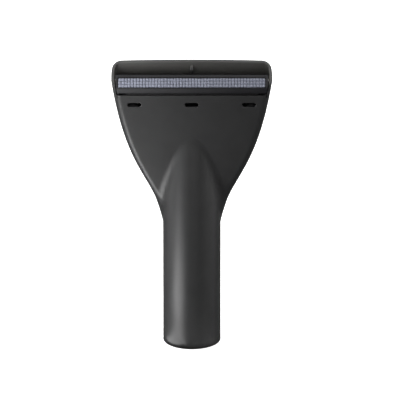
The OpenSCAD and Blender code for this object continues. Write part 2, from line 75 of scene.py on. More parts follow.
# ---------------------------------------------------------------------------
# Form of the moulded body, in millimetres: the design's own curves, sampled finely
# ---------------------------------------------------------------------------
NECK_R = 20.0
WALL = 2.0
FLARE_Z = 74.0
WIDE_Z = 199.0
HALF_MAX = 55.0
PLATE_TOP = 190.1
PLATE_EDGE = PLATE_TOP - 0.6
PLATE_LOW = 102.0
PLATE_REACH = 28.5
PLATE_LEAN = math.tan(math.radians(15.2))
PLATE_BULGE = 1.5
BACK_Z = 85.0
BACK_ANGLE = math.radians(14.7)
BACK_CROWN = 0.8
FRONT_R = 5.0
BACK_R = 4.5
MORPH_H = 44.0
FACE_ANGLE = math.radians(40.0)
FACE_REACH = 30.2
FACE_Z = 196.4
FACE_SLOPE = math.tan(FACE_ANGLE)
BACK_OUT = np.array([0.0, math.cos(BACK_ANGLE), math.sin(BACK_ANGLE)])
BACK_UP = np.array([0.0, -math.sin(BACK_ANGLE), math.cos(BACK_ANGLE)])
ACROSS = np.array([1.0, 0.0, 0.0])


def bezier(points, steps):
    t = np.linspace(0.0, 1.0, steps)[:, None]
    a, b, c, d = (np.array(p, float) for p in points)
    return (1 - t) ** 3 * a + 3 * (1 - t) ** 2 * t * b + 3 * (1 - t) * t * t * c + t**3 * d


flare_curve = bezier([(FLARE_Z, NECK_R), (122.5, NECK_R), (116.5, 43.5), (WIDE_Z, HALF_MAX)], 400)
hood_curve = bezier([(WIDE_Z, HALF_MAX), (203.0, 55.25), (207.0, 55.05), (211.5, 51.8)], 80)
outline = np.vstack([[-100.0, NECK_R], flare_curve, hood_curve[1:]])


def half_width(z):
    return np.interp(z, outline[:, 0], outline[:, 1])


def ramp(a, b, v):
    t = np.clip((v - a) / (b - a), 0.0, 1.0)
    return t * t * (3 - 2 * t)


def plate_y(z):
    u = (z - PLATE_LOW) / (PLATE_TOP - PLATE_LOW)
    return -PLATE_REACH + (PLATE_TOP - z) * PLATE_LEAN - 4 * PLATE_BULGE * u * (1 - u)


def back_y(z):
    return NECK_R - (z - BACK_Z) * math.tan(BACK_ANGLE)


def morph(z):
    return ramp(FLARE_Z, FLARE_Z + MORPH_H, z)


def round_max(a, b, r):
    rounded = np.hypot(np.maximum(a + r, 0), np.maximum(b + r, 0)) - r
    return np.where((a > -r) & (b > -r), rounded, np.maximum(a, b))


def smooth_min(a, b, k):
    h = np.maximum(k - np.abs(a - b), 0.0) / k
    return np.minimum(a, b) - h * h * k / 4


def crease(z):
    """Width of the soft join between the round neck and the flare."""
    return 0.05 + 1.2 * ramp(70, 86, z) + 4.8 * ramp(86, 105, z) * (1 - ramp(102, 150, z))


def distance_out(p):
    """About the distance of points outside the body, negative inside."""
    x, y, z = p[..., 0], p[..., 1], p[..., 2]
    h, w = half_width(z), morph(z)
    back = y - back_y(z) + BACK_CROWN * (x / h) ** 2
    oval = (np.hypot(x / h, y / NECK_R) - 1) * NECK_R
    box = round_max(np.abs(x) - h, back, BACK_R)
    flare = round_max((1 - w) * oval + w * box, plate_y(z) - y, FRONT_R)
    joined = smooth_min(np.hypot(x, y) - NECK_R, flare, crease(z))
    return -smooth_min(-joined, -back, 0.05 + 6 * (1 - w))


def outward(p):
    """Unit normals of the distance at points."""
    step = 0.02
    n = np.stack([distance_out(p + step * e) - distance_out(p - step * e) for e in np.eye(3)], -1)
    return n / np.maximum(np.linalg.norm(n, axis=-1, keepdims=True), 1e-9)


def face_point(u, v):
    """(y, z) of a point in the working frame: u toward the hood's lip, v out of the face."""
    return (-FACE_REACH + u * math.cos(FACE_ANGLE) - v * math.sin(FACE_ANGLE),
            FACE_Z + u * math.sin(FACE_ANGLE) + v * math.cos(FACE_ANGLE))


# --- Sections and rays of the fine skin ---------------------------------------
def centre_y(z):
    return morph(z) * (plate_y(z) + back_y(z)) / 2


MOUTH_Z = FACE_Z + FACE_SLOPE * (centre_y(203.0) + FACE_REACH)
SLOPE_START, SLOPE_POWER = 128.0, 1.3
LIP_EDGE = 0.7
NECK_EDGE = 1.0
ROW_STEP = 1.05
RAY_SHARE, RAY_LEVELS = 0.25, (135.0, 165.0)
RAY_NEAR, RAY_FAR = 0.05, 2.8
MIN_HALF_DEPTH = 6.0
FINE_HALVINGS, HALVINGS = 26, 24
FRONT_COLUMNS, SIDE_COLUMNS, CORNER_COLUMNS, BACK_COLUMNS = 236, 20, 12, 110
CORNER = 5.0


def section_slope(z):
    return FACE_SLOPE * (max(0.0, z - SLOPE_START) / (MOUTH_Z - SLOPE_START)) ** SLOPE_POWER


def section_rows():
    """[height at the centre, slope, outer inset, inner inset] of every section."""
    quarter = [math.radians(a) for a in (0, 20, 40, 60, 75)]
    rows = [(NECK_EDGE * (1 - math.cos(a)), 0, NECK_EDGE * (1 - math.sin(a)), 0) for a in quarter]
    rows += [(z, 0, 0, 0) for z in (1, 3, 8, 16, 24, 32, 40, 48, 54, 58, 62, 66, 68, 70, 71, 72, 73)]
    count = round((MOUTH_Z - LIP_EDGE - FLARE_Z) / ROW_STEP)
    for z in np.linspace(FLARE_Z, MOUTH_Z - LIP_EDGE, count):
        rows.append((z, section_slope(z), 0, 0))
    for a in (20, 40, 60, 78, 90):
        a = math.radians(a)
        inset = LIP_EDGE * (1 - math.cos(a))
        rows.append((MOUTH_Z - LIP_EDGE * (1 - math.sin(a)), FACE_SLOPE, inset, inset))
    return np.array(rows, float)


def ray_guide():
    """Per column: place along x and y of a unit rounded box (share, corner angle) and circle angle."""
    columns = []
    def add(kind, values, lo, hi):
        for i, s in enumerate(values):
            columns.append((kind, s, math.radians(lo + (hi - lo) * i / len(values))))
    def shares(n):
        return [2 * i / n - 1 for i in range(n)]
    def arc(start, n):
        return [math.radians(start + 90 * i / n) for i in range(n)]
    add(0, shares(FRONT_COLUMNS), -150, -30)
    add(1, arc(-90, CORNER_COLUMNS), -30, -16)
    add(2, shares(SIDE_COLUMNS), -16, 16)
    add(3, arc(0, CORNER_COLUMNS), 16, 30)
    add(4, [-s for s in shares(BACK_COLUMNS)], 30, 150)
    add(5, arc(90, CORNER_COLUMNS), 150, 164)
    add(6, [-s for s in shares(SIDE_COLUMNS)], 164, 196)
    add(7, arc(180, CORNER_COLUMNS), 196, 210)
    return np.array(columns, float)


def solve_skin(rows, guide, inset, depth):
    """Points where each ray of each section leaves the surface moved inward by depth less inset."""
    kind, share, angle = guide.T
    zc, slope = rows[:, 0:1], rows[:, 1:2]
    c, w = centre_y(zc), morph(zc)
    front_k = RAY_SHARE + (1 - RAY_SHARE) * ramp(*RAY_LEVELS, zc)
    side_share = (share + 1) / 2
    back_side = np.select([kind <= 1, kind == 2, kind <= 5, kind == 6],
                          [0, side_share, 1, side_share], 0)
    k = front_k + (1 - front_k) * back_side
    target_y = c + 0 * share
    for _ in range(4):
        z = zc + slope * (target_y - c)
        h, low, high = half_width(z), plate_y(z), back_y(z)
        low, high = np.minimum(low, c - MIN_HALF_DEPTH), np.maximum(high, c + MIN_HALF_DEPTH)
        side_x = h - CORNER
        low_corner = low + CORNER * (1 + np.sin(share))
        high_corner = high - CORNER * (1 - np.sin(share))
        side = low + CORNER + side_share * (high - low - 2 * CORNER)
        by_kind = [low + 0 * share, low_corner, side, high_corner,
                   high + 0 * share, high_corner, side, low_corner]
        target_y = np.select([kind == i for i in range(8)], by_kind)
    is_corner, is_wall = kind % 2 == 1, (kind == 0) | (kind == 4)
    bend_x = np.select([is_corner, kind == 2, kind == 6], [CORNER * np.cos(share), CORNER, -CORNER], 0)
    spine_x = np.select([is_wall, (kind >= 1) & (kind <= 3)], [share * side_x, side_x], -side_x)
    target = np.stack([(1 - w) * NECK_R * np.cos(angle) + w * (spine_x + bend_x),
                       (1 - w) * NECK_R * np.sin(angle) + w * target_y], -1)
    origin = np.stack([w * k * spine_x, w * (c + 0 * share)], -1)
    ray = target - origin
    lo, hi = np.full(ray.shape[:2], RAY_NEAR), np.full(ray.shape[:2], RAY_FAR)
    level = -depth + inset
    for _ in range(FINE_HALVINGS):
        t = (lo + hi) / 2
        xy = origin + t[..., None] * ray
        p = np.concatenate([xy, (zc + slope * (xy[..., 1] - c))[..., None]], -1)
        inside = distance_out(p) < level
        lo, hi = np.where(inside, t, lo), np.where(inside, hi, t)
    return p


def square_inner(outer, inner, level):
    """Moves inner points of the flat walls straight behind their outer points, for square cuts."""
    x, y, z = outer.T
    room = 1 - ramp(half_width(z) - 4.4, half_width(z) - 2.8, np.abs(x))
    forward = (y < centre_y(z)) & (y < -4)
    behind = y > centre_y(z) + 3
    at_vents = ramp(152.0, 164.0, z) * (1 - ramp(197.0, 202.0, z))
    at_screws = ramp(112.0, 120.0, z) * (1 - ramp(183.0, 192.0, z)) * behind
    share = np.where(forward, at_vents, at_screws) * room
    way = inner - outer
    way /= np.linalg.norm(way, axis=1, keepdims=True)
    straight = np.where(forward[:, None], [[0.0, 1.0, 0.0]], [-BACK_OUT])
    way = way * (1 - share[:, None]) + straight * share[:, None]
    lo, hi = np.zeros(len(outer)), np.full(len(outer), 6.0)
    for _ in range(HALVINGS):
        t = (lo + hi) / 2
        deep = distance_out(outer + t[:, None] * way) < level
        lo, hi = np.where(deep, lo, t), np.where(deep, t, hi)
    moved = outer + t[:, None] * way
    return np.where(share[:, None] > 0, moved, inner)


# --- A sheet is a skin with an outer and an inner point at every vertex ----------
def fine_sheet():
    rows, guide = section_rows(), ray_guide()
    n, m = len(rows), len(guide)
    outer = solve_skin(rows, guide, -rows[:, 2:3], 0.0).reshape(-1, 3)
    inner = solve_skin(rows, guide, rows[:, 3:4], WALL).reshape(-1, 3)
    inner = square_inner(outer, inner, np.repeat(rows[:, 3] - WALL, m))
    i, j = np.meshgrid(np.arange(n - 1), np.arange(m), indexing="ij")
    a, b = (i * m + j).ravel(), (i * m + (j + 1) % m).ravel()
    c, d = b + m, a + m
    flip = ((i + j) % 2 == 0).ravel()
    first = np.where(flip[:, None], np.stack([a, b, c], 1), np.stack([a, b, d], 1))
    second = np.where(flip[:, None], np.stack([a, c, d], 1), np.stack([b, c, d], 1))
    return {"outer": outer, "inner": inner, "soft": np.zeros(n * m), "tris": np.vstack([first, second])}


SNAP, TRIM_SNAP = 0.01, 0.011
EDGE_STEPS = (0.0, 0.5, 0.866, 1.0)


def split(sheet, values, level):
    """Cuts the sheet's triangles along values == level, so that none crosses it."""
    f = values - level
    f[np.abs(f) < SNAP] = 0.0
    tris = sheet["tris"]
    sign = np.sign(f)[tris]
    crossed = (sign.min(1) < 0) & (sign.max(1) > 0)
    if not crossed.any():
        return
    t, s = tris[crossed], sign[crossed]
    on_line = (s == 0).any(1)
    lone = np.where(on_line, np.argmax(s == 0, 1), np.argmax(s == -np.sign(s.sum(1))[:, None], 1))
    turn = (lone[:, None] + np.arange(3)) % 3
    t = np.take_along_axis(t, turn, 1)
    one, two = t[on_line], t[~on_line]
    edges = np.vstack([one[:, [1, 2]], two[:, [0, 1]], two[:, [0, 2]]])
    edges.sort(axis=1)
    unique, where = np.unique(edges, axis=0, return_inverse=True)
    where = where.ravel() + len(f)
    a, b = unique.T
    share = (f[a] / (f[a] - f[b]))[:, None]
    for key in ("outer", "inner"):
        old = sheet[key]
        new = old[a] + share * (old[b] - old[a])
        wanted = distance_out(old[a]) * (1 - share[:, 0]) + distance_out(old[b]) * share[:, 0]
        new -= outward(new) * (distance_out(new) - wanted)[:, None]
        sheet[key] = np.vstack([old, new])
    sheet["soft"] = np.append(sheet["soft"], np.zeros(len(a)))
    m0, m1, m2 = np.split(where, [len(one), len(one) + len(two)])
    parts = [tris[~crossed],
             np.stack([one[:, 0], one[:, 1], m0], 1), np.stack([one[:, 0], m0, one[:, 2]], 1),
             np.stack([two[:, 0], m1, m2], 1), np.stack([m1, two[:, 1], two[:, 2]], 1),
             np.stack([m1, two[:, 2], m2], 1)]
    sheet["tris"] = np.vstack(parts)


def trim(sheet, field, radius):
    """Removes the sheet where the field is positive, and notes a rounded edge of that radius."""
    for s in EDGE_STEPS:
        split(sheet, field(sheet["outer"]), -radius * (1 - s))
    values = field(sheet["outer"])
    values[np.abs(values) < TRIM_SNAP] = 0.0
    sheet["tris"] = sheet["tris"][values[sheet["tris"]].max(1) <= 0]
    near = np.clip((values + radius) / radius, 0.0, 1.0)
    sheet["soft"] = np.maximum(sheet["soft"], radius * (1 - np.sqrt(1 - near**2)))


def close_sheet(sheet):
    """Vertices and faces of the closed wall: outer skin, inner skin and the cut edges between."""
    outer = sheet["outer"] - outward(sheet["outer"]) * sheet["soft"][:, None]
    tris, n = sheet["tris"], len(outer)
    directed = np.vstack([tris[:, [0, 1]], tris[:, [1, 2]], tris[:, [2, 0]]])
    key = np.sort(directed, 1)
    _, where, count = np.unique(key, axis=0, return_inverse=True, return_counts=True)
    rim = directed[count[where.ravel()] == 1]
    walls = np.stack([rim[:, 1], rim[:, 0], rim[:, 0] + n, rim[:, 1] + n], 1)
    points = np.vstack([outer, sheet["inner"]])
    faces = tris.tolist() + (tris[:, [0, 2, 1]] + n).tolist() + walls.tolist()
    used = np.unique(np.concatenate([tris.ravel(), tris.ravel() + n]))
    index = np.full(len(points), -1)
    index[used] = np.arange(len(used))
    faces = [[int(index[v]) for v in f] for f in faces]
    return points[used], faces


def link_object(name, mesh):
    thing = bpy.data.objects.new(name, mesh)
    bpy.context.scene.collection.objects.link(thing)
    return thing


def smooth_faces(mesh, sharp=35.0):
    """Smooth shading, but for edges sharper than an angle in degrees."""
    mesh.polygons.foreach_set("use_smooth", [True] * len(mesh.polygons))
    mesh.set_sharp_from_angle(angle=math.radians(sharp))


def mesh_piece(name, solids, body="root", sharp=35.0):
    """One mesh piece of closed solids, each (points in millimetres, faces), riding on a body."""
    points, faces, base = [], [], 0
    for p, f in solids:
        points.append(np.asarray(p, float) * MM)
        faces += [[v + base for v in face] for face in f]
        base += len(p)
    mesh = bpy.data.meshes.new(name)
    mesh.from_pydata(np.vstack(points).tolist(), [], faces)
    smooth_faces(mesh, sharp)
    mesh.update()
    piece = link_object(name, mesh)
    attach(piece, body)
    return piece


# --- Small solids ---------------------------------------------------------------
def prism(profile, half_length, edge=0.0):
    """Closed bar along X with a convex (y, z) profile; its ends are drawn in by a small edge."""
    profile = np.array(profile, float)
    y, z = profile.T
    if np.sum(y * np.roll(z, -1) - np.roll(y, -1) * z) < 0:
        profile = profile[::-1]
    inward = profile.mean(0) - profile
    small = profile + inward * edge / np.maximum(np.linalg.norm(inward, axis=1), 1e-6)[:, None]
    layers = [(-half_length, small), (-half_length + edge, profile),
              (half_length - edge, profile), (half_length, small)]
    points = [(x, y, z) for x, ring in layers for y, z in ring]
    n = len(profile)
    faces = [[k * n + i, k * n + (i + 1) % n, (k + 1) * n + (i + 1) % n, (k + 1) * n + i]
             for k in range(3) for i in range(n)]
    faces += [list(range(n - 1, -1, -1)), list(range(3 * n, 4 * n))]
    return points, faces


def keep_side(profile, a, b):
    """The part of a convex (y, z) profile left of the line from a to b."""
    def side(p):
        return (b[0] - a[0]) * (p[1] - a[1]) - (b[1] - a[1]) * (p[0] - a[0])
    kept = []
    for p, q in zip(profile, profile[1:] + profile[:1]):
        sp, sq = side(p), side(q)
        if sp >= 0:
            kept.append(p)
        if sp * sq < 0:
            t = sp / (sp - sq)
            kept.append((p[0] + t * (q[0] - p[0]), p[1] + t * (q[1] - p[1])))
    return kept


def lathe(profile, place, segments=64, closed=False):
    """Solid turned from an (r, h) profile; place maps (N, 3) local points, h along the local Z."""
    points, faces, rings = [], [], []
    turns = [2 * math.pi * i / segments for i in range(segments)]
    for r, h in profile:
        if r < 1e-9:
            rings.append([len(points)])
            points.append((0.0, 0.0, h))
        else:
            rings.append(list(range(len(points), len(points) + segments)))
            points += [(r * math.cos(a), r * math.sin(a), h) for a in turns]
    pairs = list(zip(rings, rings[1:] + rings[:1] if closed else rings[1:]))
    for low, high in pairs:
        for i in range(segments):
            j = (i + 1) % segments
            if len(low) == 1 and len(high) == 1:
                continue
            if len(low) == 1:
                faces.append([low[0], high[j], high[i]])
            elif len(high) == 1:
                faces.append([low[i], low[j], high[0]])
            else:
                faces.append([low[i], low[j], high[j], high[i]])
    return place(np.array(points)), faces


def turned_x(side, x, y, z):
    """Places a lathe's Z along +X or -X at a point."""
    def place(p):
        return np.stack([side * (x + p[:, 2]), y + p[:, 0], z - side * p[:, 1]], 1)
    return place


SIDES = [(-1, "left"), (1, "right")]
SCREW_SPOTS = [("lower_left", -23.6, 128.0), ("lower_right", 23.6, 128.0),
               ("upper_left", -41.0, 172.0), ("upper_right", 41.0, 172.0)]


def screw_spot(x, z):
    return np.array([x, float(back_y(z) - BACK_CROWN * (x / half_width(z)) ** 2), z])


def on_back(x, z):
    """Places a lathe's Z out of the back at a screw's spot."""
    spot = screw_spot(x, z)
    def place(p):
        return spot + p[:, 0:1] * ACROSS + p[:, 1:2] * -BACK_UP + p[:, 2:3] * BACK_OUT
    return place


def on_face(x, u):
    """Places a lathe's Z out of the working face."""
    def place(p):
        y, z = face_point(u + p[:, 1], p[:, 2])
        return np.stack([x - p[:, 0], y, z], 1)
    return place


def upright(p):
    return p


# ---------------------------------------------------------------------------
# Fields of the cuts: positive where material is taken away
# ---------------------------------------------------------------------------
SEAM_Z = 93.0
PARTING_SHARE, PARTING_COSINE = 0.45, 0.965
NOTCH_X, NOTCH_Z, NOTCH_GAP, NOTCH_RISE = 51.0, 186.5, 0.4, 0.5
CHEEK_X, CHEEK_BACK, CHEEK_T, CHEEK_DROP = 48.0, -18.0, 2.1, 4.0
VENT_PITCH, VENT_L, VENT_H, VENT_Z, VENT_BACK = 39.2, 9.6, 3.2, 182.3, -10.0
PIVOT_Y, PIVOT_Z = face_point(7.4, -3.8)
SEAT_R, SEAT_DEPTH, SEAT_REACH = 3.1, 2.4, 5.0
PIN_HEAD_R, PIN_SEAT_X = 2.23, 50.0
SEAM_EDGE, VENT_EDGE, SLIT_EDGE, MOUTH_EDGE, SEAT_EDGE, PIN_SEAT_EDGE = 0.22, 0.3, 0.2, 0.35, 0.25, 0.2


def parting_y(z):
    return plate_y(z) + PARTING_SHARE * (back_y(z) - plate_y(z))


def room_x(z):
    """Half the room between the cheeks' inner faces."""
    return np.where(z < WIDE_Z, half_width(z) - CHEEK_T, HALF_MAX - CHEEK_T)


def outside_front(p):
    x, y, z = p.T
    behind = (y - parting_y(z)) * PARTING_COSINE
    body = np.maximum(z - PLATE_EDGE, np.minimum(z - SEAM_Z, behind))
    return np.maximum(body, np.minimum(np.abs(x) - NOTCH_X, z - NOTCH_Z))


def inside_front(p):
    return -outside_front(p)


def mouth_window(p):
    x, y, z = p.T
    return np.minimum(np.minimum(room_x(z) - np.abs(x), z - PLATE_TOP), CHEEK_BACK - y)


def slit(p):
    x, y, z = p.T
    beside = np.minimum(NOTCH_X + NOTCH_GAP - np.abs(x), z - NOTCH_Z)
    return np.minimum(beside, np.minimum(PLATE_TOP + NOTCH_RISE - z, parting_y(NOTCH_Z) - y))


def vent(index):
    def field(p):
        x, y, z = p.T
        over = np.maximum(np.abs(x - index * VENT_PITCH) - (VENT_L - VENT_H) / 2, 0)
        return np.minimum(VENT_H / 2 - np.hypot(over, z - VENT_Z), VENT_BACK - y)
    return field


def screw_seat(x0, z0):
    spot = screw_spot(x0, z0)
    def field(p):
        v = p - spot
        return np.minimum(SEAT_R - np.hypot(v @ ACROSS, v @ BACK_UP), v @ BACK_OUT + SEAT_REACH)
    return field


def pin_seat(side):
    def field(p):
        x, y, z = p.T
        return np.minimum(PIN_HEAD_R - np.hypot(y - PIVOT_Y, z - PIVOT_Z), side * x - PIN_SEAT_X)
    return field


# ---------------------------------------------------------------------------
# The two moulded shells
# ---------------------------------------------------------------------------
def copy_sheet(sheet):
    return {key: value.copy() for key, value in sheet.items()}


whole = fine_sheet()
front = copy_sheet(whole)
trim(front, outside_front, SEAM_EDGE)
for index in (-1, 0, 1):
    trim(front, vent(index), VENT_EDGE)

rear = copy_sheet(whole)
trim(rear, inside_front, SEAM_EDGE)
trim(rear, slit, SLIT_EDGE)
trim(rear, mouth_window, MOUTH_EDGE)
for _, *spot in SCREW_SPOTS:
    trim(rear, screw_seat(*spot), SEAT_EDGE)
for side, _ in SIDES:
    trim(rear, pin_seat(side), PIN_SEAT_EDGE)
inner_x, inner_y, inner_z = rear["inner"].T
limit = room_x(inner_z)
cheek = (inner_z > PLATE_TOP - CHEEK_DROP) & (inner_y < CHEEK_BACK) & (np.abs(inner_x) > CHEEK_X)
pull = cheek & (np.abs(inner_x) < limit)
rear["inner"][pull, 0] = (np.sign(inner_x) * limit)[pull]

# --- Fittings behind the plate: posts, the springs' rail with its stops, the seal's ledge ---
SHELF_OUT, SHELF_IN, SHELF_T = -9.6, 7.3, 2.0
PLATE_MIDDLE = 1.0
plate_line = [(float(plate_y(z)) + PLATE_MIDDLE, z) for z in (178.0, 196.0)]


def face_profile(points):
    return [face_point(u, v) for u, v in points]


def behind_plate(points):
    return keep_side(face_profile(points), plate_line[1], plate_line[0])


def post(x, z):
    """Hollow post from under a screw's seat to the front plate."""
    place = on_back(x, z)
    segments, solid_r, hole_r, top, crown, hole_low = 40, 3.4, 1.47, -4.0, -3.7, -14.4
    def ring(r, h):
        a = np.linspace(0, 2 * math.pi, segments, endpoint=False)
        return np.stack([r * np.cos(a), r * np.sin(a), np.full(segments, float(h))], 1)
    foot = ring(solid_r, 0)
    lo, hi = np.full(segments, -40.0), np.full(segments, -5.0)
    for _ in range(HALVINGS):
        mid = (lo + hi) / 2
        foot[:, 2] = mid
        q = place(foot)
        before = q[:, 1] > plate_y(q[:, 2]) + PLATE_MIDDLE
        lo, hi = np.where(before, lo, mid), np.where(before, mid, hi)
    rings = [foot, ring(solid_r - 0.35, top), ring(solid_r - 0.6, crown), ring(hole_r + 0.2, crown),
             ring(hole_r, top), ring(hole_r, hole_low)]
    points = np.vstack(rings + [[[0, 0, hole_low]], [[0, 0, float(foot[:, 2].mean())]]])
    faces = []
    last, centre = (len(rings) - 1) * segments, len(rings) * segments
    for low in range(0, last, segments):
        high = low + segments
        for i in range(segments):
            j = (i + 1) % segments
            faces.append([low + i, low + j, high + j, high + i])
    for i in range(segments):
        j = (i + 1) % segments
        faces.append([last + i, last + j, centre])
        faces.append([j, i, centre + 1])
    return place(points), faces


SPRING_X, SPRING_U, SPRING_R, WIRE_D = 30.0, 4.6, 1.9, 0.5
RAIL_HALF = 47.0
STOP_X = 45.0
SHELF_LOW = SHELF_OUT - SHELF_T
rail_profile = [(-8, SHELF_OUT - 4), (-3, SHELF_LOW), (SHELF_IN, SHELF_LOW), (SHELF_IN, SHELF_OUT - 0.3),
                (SHELF_IN - 0.3, SHELF_OUT), (-8, SHELF_OUT)]
stop_profile = [(5, SHELF_OUT - 0.4), (8.7, -6.8), (10, -6.6), (10, -8),
                (7, SHELF_LOW), (5, SHELF_LOW)]
peg_profile = [(0, SHELF_OUT - 1), (1.3, SHELF_OUT - 1), (1.3, SHELF_OUT + 0.3), (1.1, SHELF_OUT + 0.8),
               (0, SHELF_OUT + 0.8)]
rail_solids = [prism(behind_plate(rail_profile), RAIL_HALF, 0.3)]
for side, _ in SIDES:
    points, faces = prism(face_profile(stop_profile), 1.5, 0.2)
    rail_solids.append((np.array(points) + [side * STOP_X, 0, 0], faces))
    rail_solids.append(lathe(peg_profile, on_face(side * SPRING_X, SPRING_U), 32))
ledge_profile = [(15.05, 46.4), (19.0, 46.4), (19.0, 48.2), (15.35, 48.2), (15.05, 47.9)]
front_solids = [close_sheet(front), lathe(ledge_profile, upright, 96, closed=True)]

# --- Fittings moulded inside the rear cover: rib, seats of screws and pins, tongue at the seam ---
PIN_X = float(half_width(PIVOT_Z))
TONGUE_T = 2.2
back_line = [(float(back_y(z)) - 1.8, z) for z in (186.0, 214.0)]
rib_profile = [(14.6, -18.0), (15.1, -4.2), (15.6, -3.4), (16.4, -3.1), (23.0, -2.0), (23.0, -18.0)]
screw_seat_profile = [(SEAT_R, -1.0), (SEAT_R, -SEAT_DEPTH), (1.55, -SEAT_DEPTH), (1.55, -3.6),
                      (4.2, -3.6), (4.6, -2.0), (4.6, -1.0)]
pin_seat_profile = [(1.28, -2.25), (3.1, -2.25), (3.4, -2.0), (3.4, -1.0),
                    (PIN_HEAD_R, -0.9), (1.28, -0.9)]
rear_solids = [close_sheet(rear)]
rear_solids.append(prism(keep_side(face_profile(rib_profile), *back_line), 0.9, 0.25))
for _, *spot in SCREW_SPOTS:
    rear_solids.append(lathe(screw_seat_profile, on_back(*spot), 48, closed=True))
for side, _ in SIDES:
    place = turned_x(side, PIN_X, PIVOT_Y, PIVOT_Z)
    rear_solids.append(lathe(pin_seat_profile, place, 40, closed=True))
tongue_y = float(back_y(SEAM_Z)) - WALL - TONGUE_T - 0.7
tongue_profile = [(tongue_y, SEAM_Z - 4), (tongue_y + TONGUE_T / 2, SEAM_Z - 4),
                  (tongue_y + TONGUE_T, SEAM_Z - 0.5), (tongue_y + TONGUE_T, SEAM_Z + 4),
                  (tongue_y, SEAM_Z + 4)]
rear_solids.append(prism(tongue_profile, 5.0, 0.4))


# ---------------------------------------------------------------------------
# Materials
# ---------------------------------------------------------------------------
def new_material(name):
    material = bpy.data.materials.new(name)
    material.use_nodes = True
    tree = material.node_tree
    shader = next(n for n in tree.nodes if n.type == "BSDF_PRINCIPLED")
    return material, tree, shader


def noise(tree, scale, detail=3.0, stretch=None):
    """Noise over the object's own coordinates, in metres, and stretched by a scale for each axis."""
    place = tree.nodes.new("ShaderNodeTexCoord")
    node = tree.nodes.new("ShaderNodeTexNoise")
    node.inputs["Scale"].default_value = scale
    node.inputs["Detail"].default_value = detail
    if stretch:
        mapping = tree.nodes.new("ShaderNodeMapping")
        mapping.inputs["Scale"].default_value = stretch
        tree.links.new(place.outputs["Object"], mapping.inputs["Vector"])
        tree.links.new(mapping.outputs["Vector"], node.inputs["Vector"])
    else:
        tree.links.new(place.outputs["Object"], node.inputs["Vector"])
    return node.outputs["Fac"]


def spread(tree, value, low, high, start=0.3, end=0.7):
    """Maps a value from start..end onto low..high."""
    node = tree.nodes.new("ShaderNodeMapRange")
    node.inputs["From Min"].default_value = start
    node.inputs["From Max"].default_value = end
    node.inputs["To Min"].default_value = low
    node.inputs["To Max"].default_value = high
    tree.links.new(value, node.inputs["Value"])
    return node.outputs["Result"]


def blend_colours(tree, factor, a, b):
    """Mixes a into b by a factor; each is a colour or the socket of one."""
    node = tree.nodes.new("ShaderNodeMix")
    node.data_type = "RGBA"
    sockets = [s for s in node.inputs if s.type == "RGBA"]
    for socket, colour in zip(sockets, (a, b)):
        if isinstance(colour, bpy.types.NodeSocket):
            tree.links.new(colour, socket)
        else:
            socket.default_value = (*colour, 1.0)
    tree.links.new(factor, node.inputs["Factor"])
    return next(s for s in node.outputs if s.type == "RGBA")


def bump(tree, shader, height, strength, distance):
    node = tree.nodes.new("ShaderNodeBump")
    node.inputs["Strength"].default_value = strength
    node.inputs["Distance"].default_value = distance
    tree.links.new(height, node.inputs["Height"])
    tree.links.new(node.outputs["Normal"], shader.inputs["Normal"])


def moulded_plastic(name, dark, light, roughness, specular=0.5, grain=0.6):
    """Fine spark-eroded texture, slight mottling of the colour, and slightly uneven gloss."""
    material, tree, shader = new_material(name)
    shader.inputs["Specular IOR Level"].default_value = specular
    mottled = blend_colours(tree, spread(tree, noise(tree, 60.0, 4.0), 0.0, 1.0), dark, light)
    tree.links.new(mottled, shader.inputs["Base Color"])
    gloss = spread(tree, noise(tree, 700.0, 2.0), roughness - 0.04, roughness + 0.04)
    tree.links.new(gloss, shader.inputs["Roughness"])
    bump(tree, shader, noise(tree, 2600.0, 2.0), grain, 0.00003)
    return material


def turned_steel(name, colour, roughness):
    """Bright steel with stains, uneven gloss and fine turning marks."""
    material, tree, shader = new_material(name)
    shader.inputs["Metallic"].default_value = 1.0
    darker = tuple(c * 0.8 for c in colour)
    stained = blend_colours(tree, spread(tree, noise(tree, 900.0, 3.0), 0.0, 1.0), darker, colour)
    tree.links.new(stained, shader.inputs["Base Color"])
    gloss = spread(tree, noise(tree, 1500.0, 2.0), roughness - 0.08, roughness + 0.08)
    tree.links.new(gloss, shader.inputs["Roughness"])
    bump(tree, shader, noise(tree, 3000.0, 2.0, (1.0, 1.0, 6.0)), 0.25, 0.00001)
    return material


def soft_rubber(name, colour):
    """Dull rubber with a slight bloom."""
    material, tree, shader = new_material(name)
    shader.inputs["Specular IOR Level"].default_value = 0.35
    paler = tuple(c * 1.6 for c in colour)
    bloom = blend_colours(tree, spread(tree, noise(tree, 250.0, 4.0), 0.0, 1.0), colour, paler)
    tree.links.new(bloom, shader.inputs["Base Color"])
    tree.links.new(spread(tree, noise(tree, 500.0), 0.62, 0.78), shader.inputs["Roughness"])
    bump(tree, shader, noise(tree, 1800.0), 0.3, 0.00003)
    return material


# The third colour is painted shade for the channels between the tufts.
PILE_DARK, PILE_LIGHT, PILE_CHANNEL_SHADE = (0.19, 0.20, 0.25), (0.31, 0.325, 0.395), (0.10, 0.11, 0.15)


def pile_fabric(name):
    """Short blue-grey pile: fibre tones on the tufts, and painted shade darkening the channels between
    them.
    """
    material, tree, shader = new_material(name)
    shader.inputs["Roughness"].default_value = 0.75
    shader.inputs["Specular IOR Level"].default_value = 0.25
    shader.inputs["Sheen Weight"].default_value = 0.35
    shader.inputs["Sheen Roughness"].default_value = 0.4
    tip = tree.nodes.new("ShaderNodeAttribute")
    tip.attribute_name = "pile_height"
    fibre = spread(tree, noise(tree, 1800.0, 4.0), 0.0, 1.0)
    fibres = blend_colours(tree, fibre, PILE_DARK, PILE_LIGHT)
    # Painted shade: the colour darkens down into the channels where pile_height falls to nothing.
    shaded = blend_colours(tree, tip.outputs["Fac"], PILE_CHANNEL_SHADE, fibres)
    tree.links.new(shaded, shader.inputs["Base Color"])
    bump(tree, shader, noise(tree, 3500.0, 3.0), 0.6, 0.0001)
    return material


